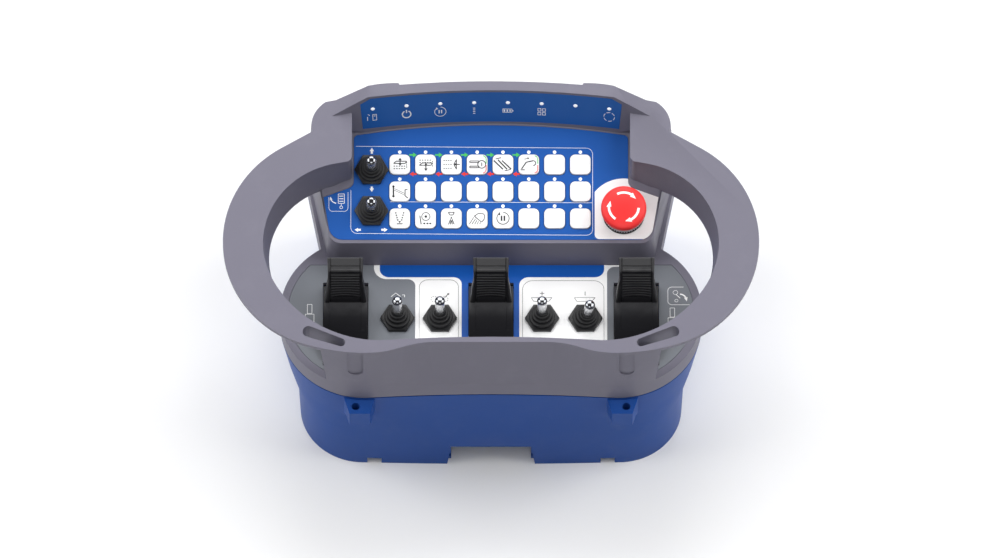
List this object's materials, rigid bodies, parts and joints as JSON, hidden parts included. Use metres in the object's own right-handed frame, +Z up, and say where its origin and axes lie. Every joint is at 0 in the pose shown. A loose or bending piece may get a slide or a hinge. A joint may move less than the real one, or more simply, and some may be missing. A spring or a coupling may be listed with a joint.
{
  "type": "industrial radio remote control",
  "caption": "Industrial radio remote control: box housing with a sprung-paddle deck, toggles, tilted keypad, stop button and a grab ring guarding the controls.",
  "frame": {"origin": "centre of the bounding box, on the surface that the tub stands on", "axes": "+X to the operator's right along the longest extent, +Y away from the operator, +Z up"},
  "size_m": [0.3404, 0.1922, 0.1734],
  "materials": {
    "tub_blue": "fine grained moulding",
    "housing_gray": "fine grained moulding",
    "label_blue": "printed satin film",
    "window_blue": "printed satin film",
    "light_white": "clear lens",
    "key_white": "satin",
    "black_plastic": "fine grained moulding",
    "black_rubber": "matt",
    "chrome": "polished",
    "steel": "zinc plated",
    "stop_red": "gloss",
    "collar_gray": "satin",
    "board_green": "solder resist",
    "antenna_black": "matt"
  },
  "bodies": {
    "housing": {"antenna": "antenna_black", "battery_contacts": "steel", "deck_overlay": "label_blue", "guard_frame": "housing_gray", "housing_screws": "steel", "housing_seal": "black_rubber", "indicator_lights": "light_white", "indicator_window": "window_blue", "key_lights": "light_white", "keypad_board": "board_green", "keypad_overlay": "label_blue", "lower_housing": "tub_blue", "main_board": "board_green", "paddle_axles": "steel", "paddle_cases": "black_plastic", "paddle_springs": "steel", "radio_module": "steel", "stop_collar": "collar_gray", "stop_contact_block": "black_plastic", "toggle_bodies": "steel", "toggle_boots": "black_rubber", "toggle_nuts": "black_plastic", "upper_housing": "housing_gray"},
    "battery_pack": {"battery_pack": "black_plastic"},
    "key_r1_c1": {"key_r1_c1": "key_white"},
    "key_r1_c2": {"key_r1_c2": "key_white"},
    "key_r1_c3": {"key_r1_c3": "key_white"},
    "key_r1_c4": {"key_r1_c4": "key_white"},
    "key_r1_c5": {"key_r1_c5": "key_white"},
    "key_r1_c6": {"key_r1_c6": "key_white"},
    "key_r1_c7": {"key_r1_c7": "key_white"},
    "key_r1_c8": {"key_r1_c8": "key_white"},
    "key_r2_c1": {"key_r2_c1": "key_white"},
    "key_r2_c2": {"key_r2_c2": "key_white"},
    "key_r2_c3": {"key_r2_c3": "key_white"},
    "key_r2_c4": {"key_r2_c4": "key_white"},
    "key_r2_c5": {"key_r2_c5": "key_white"},
    "key_r2_c6": {"key_r2_c6": "key_white"},
    "key_r2_c7": {"key_r2_c7": "key_white"},
    "key_r2_c8": {"key_r2_c8": "key_white"},
    "key_r3_c1": {"key_r3_c1": "key_white"},
    "key_r3_c2": {"key_r3_c2": "key_white"},
    "key_r3_c3": {"key_r3_c3": "key_white"},
    "key_r3_c4": {"key_r3_c4": "key_white"},
    "key_r3_c5": {"key_r3_c5": "key_white"},
    "key_r3_c6": {"key_r3_c6": "key_white"},
    "key_r3_c7": {"key_r3_c7": "key_white"},
    "key_r3_c8": {"key_r3_c8": "key_white"},
    "paddle_center": {"paddle_center": "black_plastic"},
    "paddle_left": {"paddle_left": "black_plastic"},
    "paddle_right": {"paddle_right": "black_plastic"},
    "stop_head": {"stop_head": "stop_red"},
    "stop_plunger": {"stop_plunger": "collar_gray"},
    "toggle_lever_1": {"toggle_lever_1": "chrome"},
    "toggle_lever_2": {"toggle_lever_2": "chrome"},
    "toggle_lever_3": {"toggle_lever_3": "chrome"},
    "toggle_lever_4": {"toggle_lever_4": "chrome"},
    "toggle_lever_5": {"toggle_lever_5": "chrome"},
    "toggle_lever_6": {"toggle_lever_6": "chrome"}
  },
  "joints": [
    {"name": "paddle_left_tilt", "type": "hinge", "parent": "housing", "child": "paddle_left", "pos_m": [-0.0925, -0.0415, 0.0795], "axis": [1, 0, 0], "range_deg": [-20, 20], "stiffness_Nm_per_rad": 1},
    {"name": "paddle_center_tilt", "type": "hinge", "parent": "housing", "child": "paddle_center", "pos_m": [0, -0.0415, 0.0795], "axis": [1, 0, 0], "range_deg": [-20, 20], "stiffness_Nm_per_rad": 1},
    {"name": "paddle_right_tilt", "type": "hinge", "parent": "housing", "child": "paddle_right", "pos_m": [0.0925, -0.0415, 0.0795], "axis": [1, 0, 0], "range_deg": [-20, 20], "stiffness_Nm_per_rad": 1},
    {"name": "toggle_1_throw", "type": "hinge", "parent": "housing", "child": "toggle_lever_1", "pos_m": [-0.0595, -0.0378, 0.098], "axis": [1, 0, 0], "range_deg": [-12, 12], "stiffness_Nm_per_rad": 0.05, "deforming": ["toggle_boots"]},
    {"name": "toggle_2_throw", "type": "hinge", "parent": "housing", "child": "toggle_lever_2", "pos_m": [-0.0325, -0.0378, 0.098], "axis": [1, 0, 0], "range_deg": [-12, 12], "stiffness_Nm_per_rad": 0.05, "deforming": ["toggle_boots"]},
    {"name": "toggle_3_throw", "type": "hinge", "parent": "housing", "child": "toggle_lever_3", "pos_m": [0.0325, -0.0378, 0.098], "axis": [1, 0, 0], "range_deg": [-12, 12], "stiffness_Nm_per_rad": 0.05, "deforming": ["toggle_boots"]},
    {"name": "toggle_4_throw", "type": "hinge", "parent": "housing", "child": "toggle_lever_4", "pos_m": [0.06, -0.0378, 0.098], "axis": [-0.6858, -0.7278, 0], "range_deg": [0, 21], "deforming": ["toggle_boots"]},
    {"name": "toggle_5_throw", "type": "hinge", "parent": "housing", "child": "toggle_lever_5", "pos_m": [-0.0761, 0.05053, 0.13501], "axis": [1, 0, 0], "range_deg": [-12, 12], "stiffness_Nm_per_rad": 0.05, "deforming": ["toggle_boots"]},
    {"name": "toggle_6_throw", "type": "hinge", "parent": "housing", "child": "toggle_lever_6", "pos_m": [-0.0761, 0.02435, 0.12799], "axis": [0, 0.9659, 0.2588], "range_deg": [-12, 12], "stiffness_Nm_per_rad": 0.05, "deforming": ["toggle_boots"]},
    {"name": "stop_push", "type": "slide", "parent": "housing", "child": "stop_plunger", "axis": [0, 0.2588, -0.9659], "range_m": [0, 0.004], "stiffness_N_per_m": 2000},
    {"name": "stop_twist", "type": "hinge", "parent": "stop_plunger", "child": "stop_head", "pos_m": [0.0844, 0.01986, 0.13704], "axis": [0, -0.2588, 0.9659], "range_deg": [-35, 0], "stiffness_Nm_per_rad": 0.05},
    {"name": "battery_slide", "type": "slide", "parent": "housing", "child": "battery_pack", "axis": [0, -1, 0], "range_m": [0, 0.1]},
    {"name": "key_r1_c1_press", "type": "slide", "parent": "housing", "child": "key_r1_c1", "axis": [0, 0.2588, -0.9659], "range_m": [0, 0.0006], "stiffness_N_per_m": 1500},
    {"name": "key_r1_c2_press", "type": "slide", "parent": "housing", "child": "key_r1_c2", "axis": [0, 0.2588, -0.9659], "range_m": [0, 0.0006], "stiffness_N_per_m": 1500},
    {"name": "key_r1_c3_press", "type": "slide", "parent": "housing", "child": "key_r1_c3", "axis": [0, 0.2588, -0.9659], "range_m": [0, 0.0006], "stiffness_N_per_m": 1500},
    {"name": "key_r1_c4_press", "type": "slide", "parent": "housing", "child": "key_r1_c4", "axis": [0, 0.2588, -0.9659], "range_m": [0, 0.0006], "stiffness_N_per_m": 1500},
    {"name": "key_r1_c5_press", "type": "slide", "parent": "housing", "child": "key_r1_c5", "axis": [0, 0.2588, -0.9659], "range_m": [0, 0.0006], "stiffness_N_per_m": 1500},
    {"name": "key_r1_c6_press", "type": "slide", "parent": "housing", "child": "key_r1_c6", "axis": [0, 0.2588, -0.9659], "range_m": [0, 0.0006], "stiffness_N_per_m": 1500},
    {"name": "key_r1_c7_press", "type": "slide", "parent": "housing", "child": "key_r1_c7", "axis": [0, 0.2588, -0.9659], "range_m": [0, 0.0006], "stiffness_N_per_m": 1500},
    {"name": "key_r1_c8_press", "type": "slide", "parent": "housing", "child": "key_r1_c8", "axis": [0, 0.2588, -0.9659], "range_m": [0, 0.0006], "stiffness_N_per_m": 1500},
    {"name": "key_r2_c1_press", "type": "slide", "parent": "housing", "child": "key_r2_c1", "axis": [0, 0.2588, -0.9659], "range_m": [0, 0.0006], "stiffness_N_per_m": 1500},
    {"name": "key_r2_c2_press", "type": "slide", "parent": "housing", "child": "key_r2_c2", "axis": [0, 0.2588, -0.9659], "range_m": [0, 0.0006], "stiffness_N_per_m": 1500},
    {"name": "key_r2_c3_press", "type": "slide", "parent": "housing", "child": "key_r2_c3", "axis": [0, 0.2588, -0.9659], "range_m": [0, 0.0006], "stiffness_N_per_m": 1500},
    {"name": "key_r2_c4_press", "type": "slide", "parent": "housing", "child": "key_r2_c4", "axis": [0, 0.2588, -0.9659], "range_m": [0, 0.0006], "stiffness_N_per_m": 1500},
    {"name": "key_r2_c5_press", "type": "slide", "parent": "housing", "child": "key_r2_c5", "axis": [0, 0.2588, -0.9659], "range_m": [0, 0.0006], "stiffness_N_per_m": 1500},
    {"name": "key_r2_c6_press", "type": "slide", "parent": "housing", "child": "key_r2_c6", "axis": [0, 0.2588, -0.9659], "range_m": [0, 0.0006], "stiffness_N_per_m": 1500},
    {"name": "key_r2_c7_press", "type": "slide", "parent": "housing", "child": "key_r2_c7", "axis": [0, 0.2588, -0.9659], "range_m": [0, 0.0006], "stiffness_N_per_m": 1500},
    {"name": "key_r2_c8_press", "type": "slide", "parent": "housing", "child": "key_r2_c8", "axis": [0, 0.2588, -0.9659], "range_m": [0, 0.0006], "stiffness_N_per_m": 1500},
    {"name": "key_r3_c1_press", "type": "slide", "parent": "housing", "child": "key_r3_c1", "axis": [0, 0.2588, -0.9659], "range_m": [0, 0.0006], "stiffness_N_per_m": 1500},
    {"name": "key_r3_c2_press", "type": "slide", "parent": "housing", "child": "key_r3_c2", "axis": [0, 0.2588, -0.9659], "range_m": [0, 0.0006], "stiffness_N_per_m": 1500},
    {"name": "key_r3_c3_press", "type": "slide", "parent": "housing", "child": "key_r3_c3", "axis": [0, 0.2588, -0.9659], "range_m": [0, 0.0006], "stiffness_N_per_m": 1500},
    {"name": "key_r3_c4_press", "type": "slide", "parent": "housing", "child": "key_r3_c4", "axis": [0, 0.2588, -0.9659], "range_m": [0, 0.0006], "stiffness_N_per_m": 1500},
    {"name": "key_r3_c5_press", "type": "slide", "parent": "housing", "child": "key_r3_c5", "axis": [0, 0.2588, -0.9659], "range_m": [0, 0.0006], "stiffness_N_per_m": 1500},
    {"name": "key_r3_c6_press", "type": "slide", "parent": "housing", "child": "key_r3_c6", "axis": [0, 0.2588, -0.9659], "range_m": [0, 0.0006], "stiffness_N_per_m": 1500},
    {"name": "key_r3_c7_press", "type": "slide", "parent": "housing", "child": "key_r3_c7", "axis": [0, 0.2588, -0.9659], "range_m": [0, 0.0006], "stiffness_N_per_m": 1500},
    {"name": "key_r3_c8_press", "type": "slide", "parent": "housing", "child": "key_r3_c8", "axis": [0, 0.2588, -0.9659], "range_m": [0, 0.0006], "stiffness_N_per_m": 1500}
  ]
}
